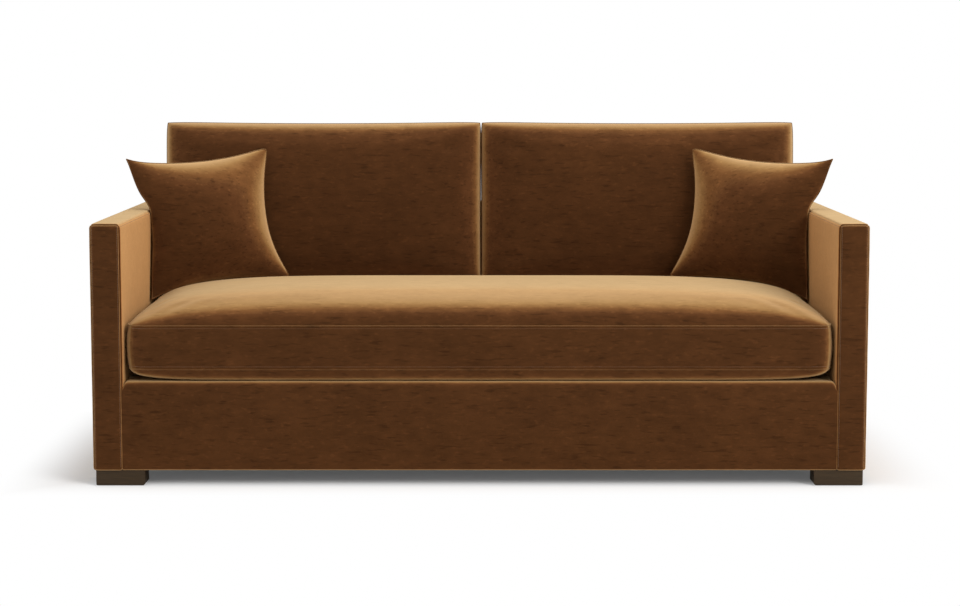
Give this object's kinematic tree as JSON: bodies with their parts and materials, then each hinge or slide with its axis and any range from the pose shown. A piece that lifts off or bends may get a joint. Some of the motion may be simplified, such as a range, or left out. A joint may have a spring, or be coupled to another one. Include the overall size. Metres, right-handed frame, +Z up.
{
  "type": "sofa",
  "caption": "Upholstered sofa with slim arms level with its back, a long boxed seat cushion, loose back cushions, throw pillows and block feet.",
  "frame": {"origin": "on the floor under the middle of the body", "axes": "+X to the right seen from the front, +Y towards the back, +Z up"},
  "size_m": [1.98, 0.98, 0.9135],
  "materials": {
    "velvet": "brown velvet with a short dense pile",
    "walnut": "dark walnut stain, satin",
    "lumber": "sawn kiln-dried hardwood",
    "hardboard": "pressed fibre board",
    "steel": "oiled spring wire and zinc-plated bolts",
    "foam": "open-cell cushion foam",
    "wadding": "white polyester fibre",
    "felt": "dark non-woven felt",
    "tie_wire": "kraft paper wound on wire",
    "zip": "brown nylon coil"
  },
  "bodies": {
    "frame": {"front_rail": "lumber", "back_rail": "lumber", "side_rails": "lumber", "spring_rail": "lumber", "stretchers": "lumber", "corner_blocks": "lumber", "arm_posts_left": "lumber", "arm_posts_right": "lumber", "arm_rails_left": "lumber", "arm_rails_right": "lumber", "arm_boards_left": "hardboard", "arm_boards_right": "hardboard", "back_uprights": "lumber", "back_top_rail": "lumber", "inside_back_board": "hardboard", "outside_back_board": "hardboard", "seat_springs_left": "steel", "seat_springs_right": "steel", "spring_clips": "steel", "spring_ties": "tie_wire", "deck_pad": "felt", "deck_cover": "velvet", "front_pad": "foam", "front_cover": "velvet", "arm_pad_left": "foam", "arm_pad_right": "foam", "inside_arm_cover_left": "velvet", "inside_arm_cover_right": "velvet", "outside_arm_cover_left": "velvet", "outside_arm_cover_right": "velvet", "arm_band_left": "velvet", "arm_band_right": "velvet", "inside_back_pad": "foam", "inside_back_cover": "velvet", "back_top_band": "velvet", "outside_back_cover": "velvet", "dust_cover": "felt", "foot_front_left": "walnut", "foot_front_right": "walnut", "foot_rear_left": "walnut", "foot_rear_right": "walnut", "foot_bolts": "steel", "felt_glides": "felt", "arm_bolts": "steel"},
    "seat": {"seat_cover": "velvet", "seat_wrap": "wadding", "seat_core": "foam", "seat_zip": "zip"},
    "back_left": {"back_cushion_cover_left": "velvet", "back_cushion_fill_left": "wadding", "back_cushion_zip_left": "zip"},
    "back_right": {"back_cushion_cover_right": "velvet", "back_cushion_fill_right": "wadding", "back_cushion_zip_right": "zip"},
    "pillow_left": {"pillow_cover_left": "velvet", "pillow_fill_left": "wadding", "pillow_zip_left": "zip"},
    "pillow_right": {"pillow_cover_right": "velvet", "pillow_fill_right": "wadding", "pillow_zip_right": "zip"}
  },
  "joints": [
    {"name": "seat_lift", "type": "slide", "parent": "frame", "child": "seat", "axis": [0, 0, 1], "range_m": [0, 0.43]},
    {"name": "back_lift_left", "type": "slide", "parent": "seat", "child": "back_left", "axis": [0, 0.1392, 0.9903], "range_m": [0, 0.26]},
    {"name": "back_lift_right", "type": "slide", "parent": "seat", "child": "back_right", "axis": [0, 0.1392, 0.9903], "range_m": [0, 0.26]},
    {"name": "pillow_lift_left", "type": "slide", "parent": "seat", "child": "pillow_left", "axis": [0, -0.3489, 0.9371], "range_m": [0, 0.26]},
    {"name": "pillow_lift_right", "type": "slide", "parent": "seat", "child": "pillow_right", "axis": [0, -0.3489, 0.9371], "range_m": [0, 0.26]}
  ]
}
